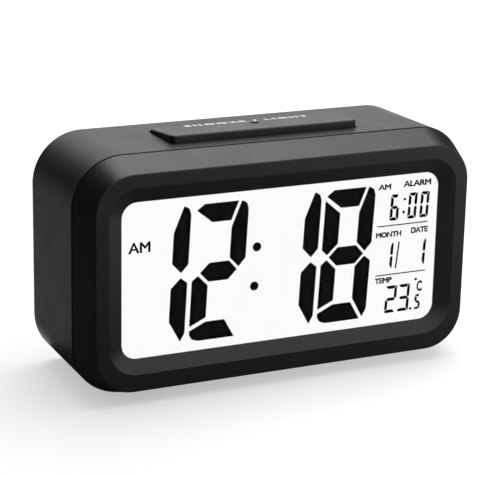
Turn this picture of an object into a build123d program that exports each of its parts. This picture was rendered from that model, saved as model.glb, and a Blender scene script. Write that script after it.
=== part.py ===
from build123d import *
import os
from math import cos, pi, radians, sin, tan

# Digital alarm clock, in millimetres. X runs to the right as one faces the display, Y runs to the
# back and Z is up. The origin lies under the middle of the clock, on the surface it stands on.

# Display window and the bezel around it
window_width = 109.0
window_height = 49.6
window_radius = 5.0
slope_width = 5.0
slope_bottom_width = 4.25
slope_depth = 2.6
rim_width = 4.25
rim_bottom_width = 5.4
rim_edge_radius = 0.5
bezel_taper = 3.75
bezel_depth = 10.7

# Case
case_depth = 48.0
corner_radius = 16.3
side_draft = 0.3
top_draft = 0.6
back_edge_radius = 1.0
wall = 2.2
seam_chamfer = 0.1
reveal_width = 0.6
reveal_depth = 0.7
lip_inset = 1.5
lip_depth = 1.2
lip_gap = 0.1
foot_height = 0.6
foot_sink = 0.8
foot_length = 12.0
foot_width = 7.0
foot_inset = 24.5
foot_margin = 5.8
slack = 0.3
fine_slack = 0.05

# Clear window and LCD cell
lens_thickness = 0.8
lens_margin = 2.0
lens_land = 0.3
lens_rim = 1.5
film_thickness = 0.2
film_margin = 1.6
glass_thickness = 0.7
glass_margin = 2.4
cell_gap = 0.1
ledge = 2.6

# Figures on the LCD
digit_stroke = 5.7
digit_gap = 1.5
colon_space = 7.45
colon_dot = 2.9
colon_spread = 12.7
slant = 0.05
margin_left = 3.6
margin_right = 1.8
margin_top = 3.4
margin_bottom = 2.3
column_width = 18.9
column_gap = 3.25
small_stroke = 1.0
small_width = 3.15
small_pitch = 4.45
time_height = 8.6
date_height = 8.8
temperature_height = 9.2
temperature_width = 4.1
tenth_height = 5.1
tenth_width = 2.1
tenth_stroke = 0.8
row_offset = 1.6
date_offset = 1.95
first_row_offset = 2.8
rule_thickness = 0.35
rule_drop = 0.6
dot = 0.9

# Backlight
guide_thickness = 2.5
guide_gap = 0.2
reflector_thickness = 0.25
frame_wall = 1.4
frame_floor = 1.2
frame_gap = 0.2
led_thickness = 2.6
led_height = 5.0
strip_thickness = 1.8
strip_margin = 6.0

# Boards and their screws
board_thickness = 1.6
small_board_thickness = 1.2
board_standoff = 2.0
board_margin = 4.5
board_drop = 3.6
standoff_radius = 2.2
board_screw_radius = 1.0
board_screw_length = 4.2
board_screw_head = 1.9
board_screw_head_height = 1.3
pilot_clearance = 0.05

# Case screws and the posts that hold the display
case_screw_radius = 1.25
case_screw_head = 2.3
case_screw_head_height = 1.8
case_screw_bite = 6.0
case_post_inset = 6.0
case_post_height = 13.0
case_post_radius = 2.75
well_radius = 3.5
well_floor = 2.5
display_post_radius = 2.0
display_post_offset = 2.0
display_post_inset = 27.5
ear_reach = 1.7

# Snooze bar
bar_length = 64.4
bar_width = 18.8
bar_setback = 6.9
bar_rise_front = 2.5
bar_rise_back = 0.95
bar_edge_radius = 0.6
bar_corner_radius = 1.8
bar_gap = 0.3
bar_travel = 1.0
bar_wall = 1.6
flange_overlap = 1.2
flange_thickness = 1.2
spring_length = 6.0
spring_radius = 2.6
spring_wire = 0.5
spring_inset = 9.6
spigot_radius = 1.8
spigot_length = 3.0
pad_radius = 2.5
pad_thickness = 1.2
pad_setback = 5.5
sensor_radius = 1.6
sensor_offset = 1.4
sensor_setback = 11.8
sensor_height = 3.6
snooze_board_width = 14.0
snooze_board_overhang = 9.4
snooze_board_setback = 2.0

# Rear keys and slide switch
key_height = 57.0
key_pitch = 15.0
key_width = 8.6
key_tall = 5.6
key_corner = 2.4
key_slack = 0.25
key_flange = 1.0
key_lap = 0.75
key_travel = 0.3
key_recess = 0.2
pocket_depth = 1.2
pocket_margin = 6.0
pocket_height = 10.6
pocket_radius = 2.5
switch_size = 6.0
switch_height = 3.5
stem_radius = 1.7
stem_reach = 1.2
knob_width = 3.0
knob_tall = 2.4
knob_travel = 2.0
knob_slack = 0.2
slide_length = 8.6
slide_tall = 4.6
key_board_height = 13.0
key_board_margin = 10.5

# Cells, their bay and its door
cell_diameter = 10.5
cell_length = 44.5
cell_nub_radius = 1.9
cell_nub_length = 0.9
cell_spacing = 0.6
contact_thickness = 0.4
contact_width = 8.6
dimple_height = 1.0
dimple_radius = 1.6
contact_spring_length = 4.5
contact_spring_radius = 4.0
contact_spring_tip = 2.8
contact_spring_wire = 0.8
tag_width = 3.0
tag_length = 3.5
bay_wall = 1.2
bay_height = 9.5
door_thickness = 1.6
door_lap = 1.8
door_gap = 0.25
door_radius = 1.6
tab_width = 6.0
tab_inset = 12.0
tab_thickness = 1.5
tab_drop = 2.2
catch_length = 9.0
catch_height = 0.2
grip_width = 1.2
grip_height = 14.0
grip_pitch = 3.0
grip_margin = 6.0
grip_count = 5
grip_depth = 0.5

# Sounder and vents
sounder_radius = 13.0
sounder_plate = 0.3
sounder_ceramic_radius = 9.5
sounder_ceramic = 0.25
sounder_inset = 22.5
sounder_height = 26.0
sounder_ring = 1.4
sounder_standoff = 2.0
sound_hole_radius = 1.0
sound_hole_circle = 5.0
vent_width = 1.4
vent_length = 14.0
vent_pitch = 3.0
vent_count = 5
vent_height = 31.0

# Small works on the boards
chip_radius = 7.0
chip_height = 1.9
crystal_radius = 1.0
crystal_length = 6.0
capacitor_radius = 2.5
capacitor_length = 7.0
resistor_length = 2.0
resistor_width = 1.2
resistor_height = 0.6
resistor_pitch = 3.2
resistor_count = 8
thermistor_radius = 1.2
thermistor_leg = 0.25
thermistor_drop = 8.0
lead_thickness = 1.2
ribbon_thickness = 0.6
key_ribbon_width = 14.0
snooze_ribbon_width = 8.0

# Places that follow from the sizes above
bezel_width = slope_width + rim_width + bezel_taper
case_width = window_width + 2 * bezel_width
underside = foot_height
window_low = underside + bezel_taper + rim_bottom_width + slope_bottom_width
window_high = window_low + window_height
roof = window_high + bezel_width
front = -case_depth / 2
back = case_depth / 2
seam = front + bezel_depth
inner_back = back - wall

lens_front = front + slope_depth + lens_land
lens_back = lens_front + lens_thickness
seat = lens_back + fine_slack
glass_front = seat + film_thickness
cell_front = glass_front + glass_thickness
cell_back = cell_front + cell_gap
rear_glass_back = cell_back + glass_thickness
rear_film_back = rear_glass_back + film_thickness
guide_front = rear_film_back + guide_gap
guide_back = guide_front + guide_thickness
reflector_back = guide_back + reflector_thickness
frame_back = reflector_back + frame_floor
board_front = frame_back + board_standoff
board_back = board_front + board_thickness
cell_width = window_width + 2 * glass_margin
cell_low = window_low - glass_margin
cell_high = window_high + glass_margin
glass_low = cell_low - ledge
frame_width = cell_width + 2 * (frame_gap + frame_wall)
frame_low = glass_low - frame_gap - frame_wall
frame_high = cell_high + frame_gap + frame_wall
board_width = frame_width - 2 * board_margin
board_low = frame_low + frame_wall
board_high = frame_high - board_drop

case_post_x = case_width / 2 - case_post_inset
case_post_places = [(x, z) for x in (-case_post_x, case_post_x)
                    for z in (underside + case_post_height, roof - case_post_height)]
display_post_x = cell_width / 2 - display_post_inset / 2
display_post_places = [(x, z) for x in (-display_post_x, display_post_x)
                       for z in (frame_low - display_post_offset, frame_high + display_post_offset)]
standoff_x = board_width / 2 - 2 * standoff_radius
standoff_places = [(x, z) for x in (-standoff_x, standoff_x)
                   for z in (board_low + 4 * standoff_radius, board_high - 2 * standoff_radius)]

bar_front = seam + bar_setback
bar_back = bar_front + bar_width
bar_middle = (bar_front + bar_back) / 2
rear_roof = roof - top_draft * (bar_back - seam) / (back - seam)
flange_top = rear_roof - wall - slack
flange_bottom = flange_top - flange_thickness
bar_ceiling = rear_roof + bar_rise_back - bar_wall
snooze_board_top = flange_bottom - spring_length
snooze_board_front = bar_front + snooze_board_setback
snooze_boss_x = bar_length / 2 + snooze_board_overhang - standoff_radius * 1.5
pad_low = snooze_board_top + bar_travel + fine_slack
pad_y = bar_front + pad_setback
sensor_y = bar_front + sensor_setback
spring_x = bar_length / 2 - spring_inset

key_z = underside + key_height
pocket_floor = back - pocket_depth
pocket_inside = pocket_floor - wall
key_flange_back = pocket_inside - slack
key_flange_front = key_flange_back - key_flange
switch_top = key_flange_front - stem_reach
key_board_back = switch_top - switch_height
key_board_front = key_board_back - small_board_thickness
key_names = ["mode", "set", "up", "down", "alarm"]
key_row = [key_pitch * (place - len(key_names) / 2) for place in range(len(key_names) + 1)]
key_places = dict(zip(key_names, key_row))
knob_x = key_row[-1] - knob_travel / 2
pocket_width = key_row[-1] - key_row[0] + key_width + pocket_margin
key_board_width = key_row[-1] - key_row[0] + 2 * key_board_margin
key_boss_places = [key_row[0] - key_pitch / 2, 0.0, key_row[-1] + key_pitch / 2]

cell_pitch = cell_diameter + cell_spacing
bay_length = cell_length + dimple_height + contact_spring_length + 2 * contact_thickness
bay_low = underside + bay_height
bay_high = bay_low + 3 * cell_pitch
bay_floor = back - door_thickness - 2 * slack - cell_diameter
cell_y = bay_floor + slack + cell_diameter / 2
cell_heights = [bay_high - cell_pitch * (place + 0.5) for place in range(3)]
door_width = bay_length + 2 * door_lap
door_low = bay_low - door_lap
door_high = bay_high + door_lap
tab_places = [-door_width / 2 + tab_inset, door_width / 2 - tab_inset]
sounder_x = case_width / 2 - sounder_inset
sounder_z = underside + sounder_height
sounder_front = inner_back - sounder_standoff
vent_z = underside + vent_height


def outline(width, low, high, radius, y, x=0.0):
    """Rounded rectangle that stands upright at depth y."""
    return Pos(x, y, (low + high) / 2) * Rot(90, 0, 0) * RectangleRounded(width, high - low, radius)


def plate(width, low, high, radius, y_from, y_to, x=0.0):
    """Upright plate with rounded corners."""
    return extrude(outline(width, low, high, radius, y_to, x), y_to - y_from)


def block(x_from, x_to, y_from, y_to, z_from, z_to):
    """Square-cornered block between two corners."""
    middle = Pos((x_from + x_to) / 2, (y_from + y_to) / 2, (z_from + z_to) / 2)
    return middle * Box(x_to - x_from, y_to - y_from, z_to - z_from)


def rod(radius, x, z, y_from, y_to):
    """Round rod from front to back."""
    return Pos(x, (y_from + y_to) / 2, z) * Rot(90, 0, 0) * Cylinder(radius, y_to - y_from)


def post(radius, x, y, z_from, z_to):
    """Upright round post."""
    return Pos(x, y, (z_from + z_to) / 2) * Cylinder(radius, z_to - z_from)


def cross_rod(radius, y, z, x_from, x_to):
    """Round rod from left to right."""
    return Pos((x_from + x_to) / 2, y, z) * Rot(0, 90, 0) * Cylinder(radius, x_to - x_from)


def screw(radius, length, head_radius, head_height):
    """Pan-head screw along Z, its head's underside at the origin and its shank below it."""
    body = Pos(0, 0, -length / 2) * Cylinder(radius, length)
    head = Pos(0, 0, head_height / 2) * Cylinder(head_radius, head_height)
    rounding = head_height / 3
    head = fillet(head.edges().sort_by(Axis.Z)[-1], rounding)
    slot = head_radius * 1.2
    cross = Box(slot, slot / 4, head_height) + Box(slot / 4, slot, head_height)
    return body + head - Pos(0, 0, head_height) * cross


def bezel_section(y, inset=0.0):
    """Outline of the bezel at depth y, moved in from its outer face by inset."""
    closing = bezel_taper * (seam - y) / bezel_depth + inset
    width = case_width - 2 * closing
    return outline(width, underside + closing, roof - closing, corner_radius - closing, y)


def sleeve_section(y, inset=0.0):
    """Outline of the rear case at depth y, moved in from its outer face by inset."""
    share = (y - seam) / (back - seam)
    width = case_width - 2 * (side_draft * share + inset)
    high = roof - top_draft * share - inset
    return outline(width, underside + inset, high, corner_radius - inset, y)


def between(section, y_from, y_to, inset=0.0):
    """Solid with straight walls between two sections of the case."""
    return loft([section(y_from, inset), section(y_to, inset)], ruled=True)


def front_bezel():
    """Front moulding: tapered band, flat rim, slope and seat of the window, shadow line, screw posts."""
    outer = between(bezel_section, front, seam - reveal_width)
    outer = fillet(outer.edges().group_by(Axis.Y)[0], rim_edge_radius)
    outer += between(bezel_section, seam - 2 * reveal_width, seam, reveal_depth)
    body = outer - between(bezel_section, front + wall, seam, wall)
    lens_width = window_width + 2 * lens_margin
    low, high = window_low - lens_margin, window_high + lens_margin
    body += plate(lens_width + 2 * lens_rim, low - lens_rim, high + lens_rim,
                  window_radius + lens_rim, front + wall / 2, seat)
    for x, z in case_post_places:
        body += rod(case_post_radius, x, z, front + wall / 2, seam) & outer
    for x, z in display_post_places:
        body += rod(display_post_radius, x, z, front + wall / 2, reflector_back) & outer
    rim_inner = outline(window_width + 2 * slope_width, window_low - slope_bottom_width,
                        window_high + slope_width, window_radius + slope_width * 0.9, front)
    window = outline(window_width, window_low, window_high, window_radius, front + slope_depth)
    body -= loft([rim_inner, window], ruled=True)
    body -= plate(window_width, window_low, window_high, window_radius, front, seat)
    body -= plate(lens_width + 2 * fine_slack, low - fine_slack, high + fine_slack,
                  window_radius, lens_front, seat)
    rebate = lip_inset - lip_gap
    ring = between(bezel_section, seam - lip_depth - lip_gap, seam, wall - rebate)
    tongue_path = plate(case_width - 2 * rebate, underside + rebate, roof - rebate,
                        corner_radius - rebate, seam - lip_depth - lip_gap, seam)
    posts = [rod(case_post_radius, x, z, front, seam) for x, z in case_post_places]
    body -= (tongue_path & ring) - posts
    for x, z in case_post_places:
        body -= rod(case_screw_radius + pilot_clearance, x, z, seam - case_screw_bite - slack, seam)
    for x, z in display_post_places:
        body -= rod(board_screw_radius + pilot_clearance, x, z,
                    frame_back - board_screw_length - slack, reflector_back)
    return body


def display_window():
    """Clear window, bonded into its seat behind the bezel's opening."""
    return plate(window_width + 2 * lens_margin, window_low - lens_margin, window_high + lens_margin,
                 window_radius, lens_front, lens_back)


def case_wells():
    """Tubes that carry the case screws from the back wall to the bezel's posts."""
    tubes = [rod(well_radius, x, z, seam, inner_back + wall / 2) for x, z in case_post_places]
    bores = [rod(case_screw_head + slack, x, z, seam + well_floor, back) for x, z in case_post_places]
    hole = case_screw_radius + slack / 2
    holes = [rod(hole, x, z, seam, seam + well_floor) for x, z in case_post_places]
    return tubes, bores + holes


def foot_places():
    """Middles of the four feet."""
    x = case_width / 2 - foot_inset
    return [(side * x, y) for side in (-1, 1) for y in (seam + foot_margin, back - foot_margin)]


def foot_shape(x, y, length, width, z_from, z_to):
    """Foot or its seat: a rounded pad from z_from to z_to."""
    pad = RectangleRounded(length, width, width * 0.45)
    return Pos(x, y, z_from) * extrude(pad, z_to - z_from)


def battery_bay():
    """Walls and hollow of the battery bay, with the slots that the contact tags pass through."""
    half = bay_length / 2
    walls = block(-half - bay_wall, half + bay_wall, bay_floor - bay_wall, inner_back + wall / 2,
                  bay_low - bay_wall, bay_high + bay_wall)
    hollows = [block(-half, half, bay_floor, back, bay_low, bay_high)]
    for side, z in tag_places():
        x_inner, x_outer = side * (half - contact_thickness - slack / 2), side * half
        hollows.append(block(min(x_inner, x_outer), max(x_inner, x_outer), bay_floor - bay_wall, bay_floor,
                             z - tag_width / 2 - slack / 2, z + tag_width / 2 + slack / 2))
    return walls, hollows


def tag_places():
    """Side and height of the two solder tags: the stack's positive end and its negative end."""
    return [(-1, cell_heights[0]), (1, cell_heights[2])]


def door_seat():
    """Cuts for the battery door: its recess, the slots of its tabs, its catch and a finger notch."""
    cuts = [plate(door_width + 2 * door_gap, door_low - door_gap, door_high + door_gap, door_radius,
                  back - door_thickness - fine_slack, back)]
    sweep_depth = door_thickness + tab_thickness + wall
    for x in tab_places:
        reach = tab_width / 2 + slack
        cuts.append(block(x - reach, x + reach, back - sweep_depth, back, door_low, bay_low + slack))
    groove = catch_height + 2 * door_gap
    half = catch_length / 2 + slack
    cuts.append(block(-half, half, back - door_thickness, back - slack, door_high, door_high + groove))
    notch = catch_length / 2
    cuts.append(cross_rod(2 * grip_width, back + grip_width, door_high, -notch, notch))
    return cuts


def key_holes():
    """Key pocket, the key holes and the slot of the slide switch, all cut from the back wall."""
    low, high = key_z - pocket_height / 2, key_z + pocket_height / 2
    cuts = [plate(pocket_width, low, high, pocket_radius, pocket_floor, back)]
    for x in key_places.values():
        cuts.append(plate(key_width + 2 * key_slack, key_z - key_tall / 2 - key_slack,
                          key_z + key_tall / 2 + key_slack, key_corner, pocket_inside, back, x))
    slot = knob_width + knob_travel + 2 * knob_slack
    tall = knob_tall / 2 + knob_slack
    cuts.append(block(key_row[-1] - slot / 2, key_row[-1] + slot / 2, pocket_inside, back,
                      key_z - tall, key_z + tall))
    return cuts


def sound_holes():
    """Ring of sound holes around a middle one."""
    holes = [rod(sound_hole_radius, sounder_x, sounder_z, inner_back, back)]
    for turn in range(6):
        x = sounder_x + sound_hole_circle * cos(turn * pi / 3)
        z = sounder_z + sound_hole_circle * sin(turn * pi / 3)
        holes.append(rod(sound_hole_radius, x, z, inner_back, back))
    return holes


def vents():
    """Row of upright vent slots in front of the thermistor."""
    middle = (vent_count - 1) / 2
    places = [-sounder_x + vent_pitch * (place - middle) for place in range(vent_count)]
    return [plate(vent_width, vent_z - vent_length / 2, vent_z + vent_length / 2, vent_width * 0.45,
                  inner_back, back, x) for x in places]


def rear_case():
    """Rear moulding: sleeve and back wall, battery bay, screw wells, bosses and every opening."""
    outer = loft([sleeve_section(seam, seam_chamfer), sleeve_section(seam + seam_chamfer),
                  sleeve_section(back)], ruled=True)
    outer = fillet(outer.edges().group_by(Axis.Y)[-1], back_edge_radius)
    body = outer - between(sleeve_section, seam, inner_back, wall)
    lip_outer = plate(case_width - 2 * lip_inset, underside + lip_inset, roof - lip_inset,
                      corner_radius - lip_inset, seam - lip_depth, seam + lip_depth)
    lip_inner = plate(case_width - 2 * wall, underside + wall, roof - wall,
                      corner_radius - wall, seam - lip_depth, seam + lip_depth)
    body += lip_outer - lip_inner
    low, high = key_z - pocket_height / 2, key_z + pocket_height / 2
    body += plate(pocket_width + 2 * wall, low - wall, high + wall, pocket_radius + wall,
                  pocket_inside, inner_back + wall / 2)
    tubes, bores = case_wells()
    body += [tube & outer for tube in tubes]
    bay_walls, bay_hollows = battery_bay()
    body += bay_walls
    for x in key_boss_places:
        body += rod(standoff_radius, x, key_z, key_board_back, inner_back + wall / 2)
    for x in (-snooze_boss_x, snooze_boss_x):
        body += post(standoff_radius, x, bar_middle, snooze_board_top, rear_roof - wall / 2)
    body += rod(sounder_radius + sounder_ring, sounder_x, sounder_z, sounder_front, inner_back + wall / 4)
    body -= rod(sounder_radius - sounder_ring, sounder_x, sounder_z, sounder_front, inner_back)
    body -= bores + bay_hollows + door_seat() + key_holes() + sound_holes() + vents()
    half = bar_length / 2 + bar_gap
    body -= block(-half, half, bar_front - bar_gap, bar_back + bar_gap, rear_roof - 2 * wall, roof + wall)
    pilot = board_screw_radius + pilot_clearance
    for x in key_boss_places:
        body -= rod(pilot, x, key_z, key_board_back, key_board_back + board_screw_length)
    for x in (-snooze_boss_x, snooze_boss_x):
        body -= post(pilot, x, bar_middle, snooze_board_top, snooze_board_top + board_screw_length)
    for x, y in foot_places():
        body -= foot_shape(x, y, foot_length + 2 * fine_slack, foot_width + 2 * fine_slack,
                           underside, underside + foot_sink)
    return body


def rubber_feet():
    """Four rubber pads, each glued into its shallow seat."""
    return [foot_shape(x, y, foot_length, foot_width, 0, underside + foot_sink) for x, y in foot_places()]


def case_screws():
    """Self-tapping screws from the wells into the bezel's posts."""
    one = screw(case_screw_radius, well_floor + case_screw_bite, case_screw_head, case_screw_head_height)
    turned = Rot(-90, 0, 0) * one
    return [Pos(x, seam + well_floor, z) * turned for x, z in case_post_places]


def battery_door():
    """Door of the battery bay, with two hook tabs at its foot, a catch and grip ribs."""
    door = plate(door_width, door_low, door_high, door_radius, back - door_thickness, back)
    inside = back - door_thickness
    hook_back = inner_back - slack
    for x in tab_places:
        door += block(x - tab_width / 2, x + tab_width / 2, hook_back - tab_thickness, inside,
                      door_low + slack, door_low + slack + tab_thickness)
        door += block(x - tab_width / 2, x + tab_width / 2, hook_back - tab_thickness, hook_back,
                      door_low - tab_drop, door_low + slack + tab_thickness)
    third = door_thickness / 3
    door += block(-catch_length / 2, catch_length / 2, back - 2 * third, back - third,
                  door_high - catch_height, door_high + catch_height)
    middle = (grip_count - 1) / 2
    for place in range(grip_count):
        z = door_high - grip_margin - grip_pitch * place
        door -= plate(grip_height, z - grip_width / 2, z + grip_width / 2, grip_width * 0.4,
                      back - grip_depth, back)
    return door


def segment_outlines(width, height, stroke):
    """Seven segments, a to g, of a figure whose lower left corner is at the origin."""
    half = height / 2
    top, right = height, width
    inner, thick = width - 0.95 * stroke, 1.05 * stroke
    notch = 0.14 * stroke
    return {
        "a": [(0.07 * stroke, top - 0.33 * stroke), (0.5 * stroke, top),
              (right - 0.61 * stroke, top), (right - stroke, top - thick), (stroke, top - thick)],
        "b": [(right - 0.42 * stroke, top), (right - 0.12 * stroke, top - 0.16 * stroke),
              (right, top - 0.5 * stroke), (right, half + 0.6 * stroke),
              (right - 0.4 * stroke, half + notch), (inner, half + 0.7 * stroke),
              (inner, top - 1.45 * stroke)],
        "c": [(right - 0.4 * stroke, half - notch), (right, half - 0.45 * stroke),
              (right, 0.55 * stroke), (right - 0.24 * stroke, 0.1 * stroke),
              (inner, 1.28 * stroke), (inner, half - 0.7 * stroke)],
        "d": [(0, 0.6 * stroke), (0.95 * stroke, thick), (inner - 0.1 * stroke, thick),
              (right - 0.4 * stroke, 0), (0.55 * stroke, 0), (0.2 * stroke, 0.12 * stroke),
              (0.03 * stroke, 0.36 * stroke)],
        "e": [(0.34 * stroke, half - notch), (0.95 * stroke, half - 0.73 * stroke),
              (0.95 * stroke, 1.3 * stroke), (0, 0.86 * stroke), (0, half - 0.42 * stroke)],
        "f": [(0, top - 0.56 * stroke), (0.97 * stroke, top - 1.35 * stroke),
              (0.97 * stroke, half + 0.75 * stroke), (0.34 * stroke, half + notch),
              (0, half + 0.46 * stroke)],
        "g": [(0.46 * stroke, half), (0.98 * stroke, half + 0.53 * stroke),
              (right - 0.98 * stroke, half + 0.53 * stroke), (right - 0.48 * stroke, half),
              (right - 0.98 * stroke, half - 0.53 * stroke), (0.98 * stroke, half - 0.53 * stroke)],
    }


lit_segments = {"0": "abcdef", "1": "bc", "2": "abged", "3": "abgcd",
                "5": "afgcd", "6": "afgcde", "8": "abcdefg"}


def inked(points, x, z):
    """Flat prism in the liquid crystal layer, leaning to the right as it rises."""
    leaned = [(x + across + slant * up, z + up) for across, up in points]
    shape = Pos(0, cell_back, 0) * Rot(90, 0, 0) * Polygon(*leaned, align=None)
    return extrude(shape, cell_gap, dir=(0, -1, 0))


def figure(digit, x, z, width, height, stroke):
    """One seven-segment digit with its lower left corner at x and z."""
    outlines = segment_outlines(width, height, stroke)
    return [inked(outlines[name], x, z) for name in lit_segments[digit]]


def spot(x, z, diameter):
    """Round dot in the liquid crystal layer."""
    return rod(diameter / 2, x, z, cell_front, cell_back)


def lcd_segments():
    """Every dark figure of the display: time, alarm time, date, temperature and the two rules."""
    left, right = -window_width / 2 + margin_left, window_width / 2 - margin_right
    low = window_low + margin_bottom
    height = window_height - margin_bottom - margin_top
    column = right - column_width
    room = column - column_gap - left - colon_space - 2 * digit_gap
    width = room / 4
    pieces = []
    x = left
    for digit in "12":
        pieces += figure(digit, x, low, width, height, digit_stroke)
        x += width + digit_gap
    colon_x = x - digit_gap + colon_space / 2
    for step in (-0.5, 0.5):
        z = low + height / 2 + step * colon_spread
        pieces.append(spot(colon_x + slant * (z - low), z, colon_dot))
    x += colon_space - digit_gap
    for digit in "18":
        pieces += figure(digit, x, low, width, height, digit_stroke)
        x += width + digit_gap
    row = window_height / 3
    rules = [window_low - rule_drop + row * place for place in (1, 2)]
    for z in rules:
        pieces.append(block(column, right - small_stroke / 2, cell_front, cell_back,
                            z - rule_thickness / 2, z + rule_thickness / 2))
    pieces += alarm_time(right, rules[1] + row_offset)
    pieces += calendar_date(right, rules[0] + date_offset)
    pieces += temperature(right, window_low + first_row_offset)
    return pieces


def alarm_time(right, z):
    """Small 6:00."""
    x = right - small_width - small_stroke / 2
    pieces = figure("0", x, z, small_width, time_height, small_stroke)
    pieces += figure("0", x - small_pitch, z, small_width, time_height, small_stroke)
    colon_x = x - small_pitch - 1.5 * small_stroke
    for share in (0.28, 0.78):
        pieces.append(spot(colon_x + slant * share * time_height, z + share * time_height, dot))
    x = colon_x - 1.9 * small_stroke - small_width
    return pieces + figure("6", x, z, small_width, time_height, small_stroke)


def calendar_date(right, z):
    """Small 1 / 1, with the stroke between month and day."""
    x = right - small_width - small_stroke
    pieces = figure("1", x, z, small_width, date_height, small_stroke)
    month_x = x - 2 * small_pitch - small_width
    pieces += figure("1", month_x, z, small_width, date_height, small_stroke)
    lean = small_stroke / 2
    foot = small_width + 1.2 * small_stroke
    stroke = [(foot, 0), (foot + lean, 0), (foot + 2 * lean, date_height), (foot + lean, date_height)]
    return pieces + [inked(stroke, month_x, z)]


def temperature(right, z):
    """Small 23.5, the tenth in a smaller figure under its degree dot."""
    x = right - tenth_width - small_stroke - dot
    pieces = figure("5", x, z, tenth_width, tenth_height, tenth_stroke)
    pieces.append(spot(x + dot / 4, z + temperature_height + 1.3 * dot, dot))
    point_x = x - 1.5 * dot
    pieces.append(spot(point_x, z + dot / 2, dot))
    unit_x = point_x - dot - temperature_width
    ten_x = unit_x - temperature_width - 0.7 * small_stroke
    for digit, x in (("2", ten_x), ("3", unit_x)):
        pieces += figure(digit, x, z, temperature_width, temperature_height, small_stroke)
    return pieces


def lcd_front_polariser():
    """Film on the outer face of the cell."""
    return plate(cell_width - 2 * (glass_margin - film_margin), window_low - film_margin,
                 window_high + film_margin, film_thickness, seat, glass_front)


def lcd_front_glass():
    """Front pane, longer at its foot, where its contact ledge is."""
    return block(-cell_width / 2, cell_width / 2, glass_front, cell_front, glass_low, cell_high)


def lcd_rear_glass():
    """Rear pane, short of the contact ledge."""
    return block(-cell_width / 2, cell_width / 2, cell_back, rear_glass_back, cell_low, cell_high)


def lcd_rear_polariser():
    """Rear film with its pale half-mirror, the ground that the figures stand out from."""
    return block(-cell_width / 2, cell_width / 2, rear_glass_back, rear_film_back, cell_low, cell_high)


def light_guide():
    """Clear guide behind the cell, short of the frame by the depth of the LEDs at its right end."""
    end = cell_width / 2 - led_thickness - 2 * guide_gap
    return block(-cell_width / 2, end, guide_front, guide_back, cell_low, cell_high)


def backlight_leds():
    """Two side-firing LEDs at the right end of the light guide."""
    x = cell_width / 2 - guide_gap
    middle = (window_low + window_high) / 2
    return [block(x - led_thickness, x, guide_front, guide_back, z - led_height / 2, z + led_height / 2)
            for z in (middle - window_height / 4, middle + window_height / 4)]


def reflector_film():
    """White film behind the light guide."""
    return block(-cell_width / 2, cell_width / 2, guide_back, reflector_back, cell_low, cell_high)


def backlight_frame():
    """White frame that holds the LCD cell against the bezel, with ears, board posts and a strip slot."""
    half = frame_width / 2
    frame = plate(frame_width, frame_low, frame_high, 2.2 * frame_wall, seat, frame_back)
    frame -= block(-half + frame_wall, half - frame_wall, seat, reflector_back,
                   frame_low + frame_wall, frame_high - frame_wall)
    for x, z in display_post_places:
        ear_end = z - ear_reach if z < frame_low else z + ear_reach
        edge = frame_low if z < frame_low else frame_high
        frame += block(x - display_post_radius, x + display_post_radius, reflector_back, frame_back,
                       min(ear_end, edge), max(ear_end, edge))
    for x, z in standoff_places:
        frame += rod(standoff_radius, x, z, frame_back, board_front)
    for x, z in display_post_places:
        frame -= rod(board_screw_radius + slack / 2, x, z, reflector_back, frame_back)
    for x, z in standoff_places:
        frame -= rod(board_screw_radius + pilot_clearance, x, z, reflector_back, board_front)
    half_strip = strip_width() / 2 + frame_gap
    frame -= block(-half_strip, half_strip, reflector_back, frame_back,
                   strip_z() - strip_thickness / 2 - frame_gap, strip_z() + strip_thickness / 2 + frame_gap)
    return frame


def strip_width():
    """Length of the rubber contact strip."""
    return cell_width - 2 * strip_margin


def strip_z():
    """Height of the contact strip, in the middle of the front glass's ledge."""
    return cell_low - ledge / 2


def contact_strip():
    """Rubber strip of carbon and silicone layers between the glass ledge and the main board."""
    half = strip_width() / 2
    return block(-half, half, cell_front, board_front, strip_z() - strip_thickness / 2,
                 strip_z() + strip_thickness / 2)


def display_screws():
    """Screws through the frame's ears into the bezel."""
    one = screw(board_screw_radius, board_screw_length, board_screw_head, board_screw_head_height)
    return [Pos(x, frame_back, z) * Rot(-90, 0, 0) * one for x, z in display_post_places]


def main_board():
    """Main circuit board on the frame's posts."""
    board = block(-board_width / 2, board_width / 2, board_front, board_back, board_low, board_high)
    hole = board_screw_radius + slack / 2
    return board - [rod(hole, x, z, board_front, board_back) for x, z in standoff_places]


def board_screws():
    """Screws of the main board, the key board and the snooze board."""
    one = screw(board_screw_radius, board_screw_length, board_screw_head, board_screw_head_height)
    screws = [Pos(x, board_back, z) * Rot(-90, 0, 0) * one for x, z in standoff_places]
    screws += [Pos(x, key_board_front, key_z) * Rot(90, 0, 0) * one for x in key_boss_places]
    low = snooze_board_top - small_board_thickness
    screws += [Pos(x, bar_middle, low) * Rot(180, 0, 0) * one for x in (-snooze_boss_x, snooze_boss_x)]
    return screws


def clock_chip():
    """Chip bonded to the board under a low drop of black epoxy."""
    middle = (window_low + window_high) / 2
    drop = rod(chip_radius, -board_width / 6, middle, board_back, board_back + chip_height)
    return fillet(drop.edges().group_by(Axis.Y)[-1], chip_height * 0.9)


def watch_crystal():
    """Small can that lies on the board, with two short legs."""
    y = board_back + crystal_radius
    z = (window_low + window_high) / 2 - crystal_length / 2
    x = -board_width / 6 + 2 * chip_radius
    can = post(crystal_radius, x, y, z, z + crystal_length)
    wire, low = crystal_radius / 5, z - crystal_length / 3
    for leg_x in (x - crystal_radius / 2, x + crystal_radius / 2):
        can += post(wire, leg_x, y, low, z) + rod(wire, leg_x, low, board_back, y)
    return can


def capacitor():
    """Upright electrolytic capacitor on the main board."""
    can = rod(capacitor_radius, board_width / 5, (window_low + window_high) / 2, board_back,
              board_back + capacitor_length)
    return fillet(can.edges().group_by(Axis.Y)[-1], capacitor_radius / 6)


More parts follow.
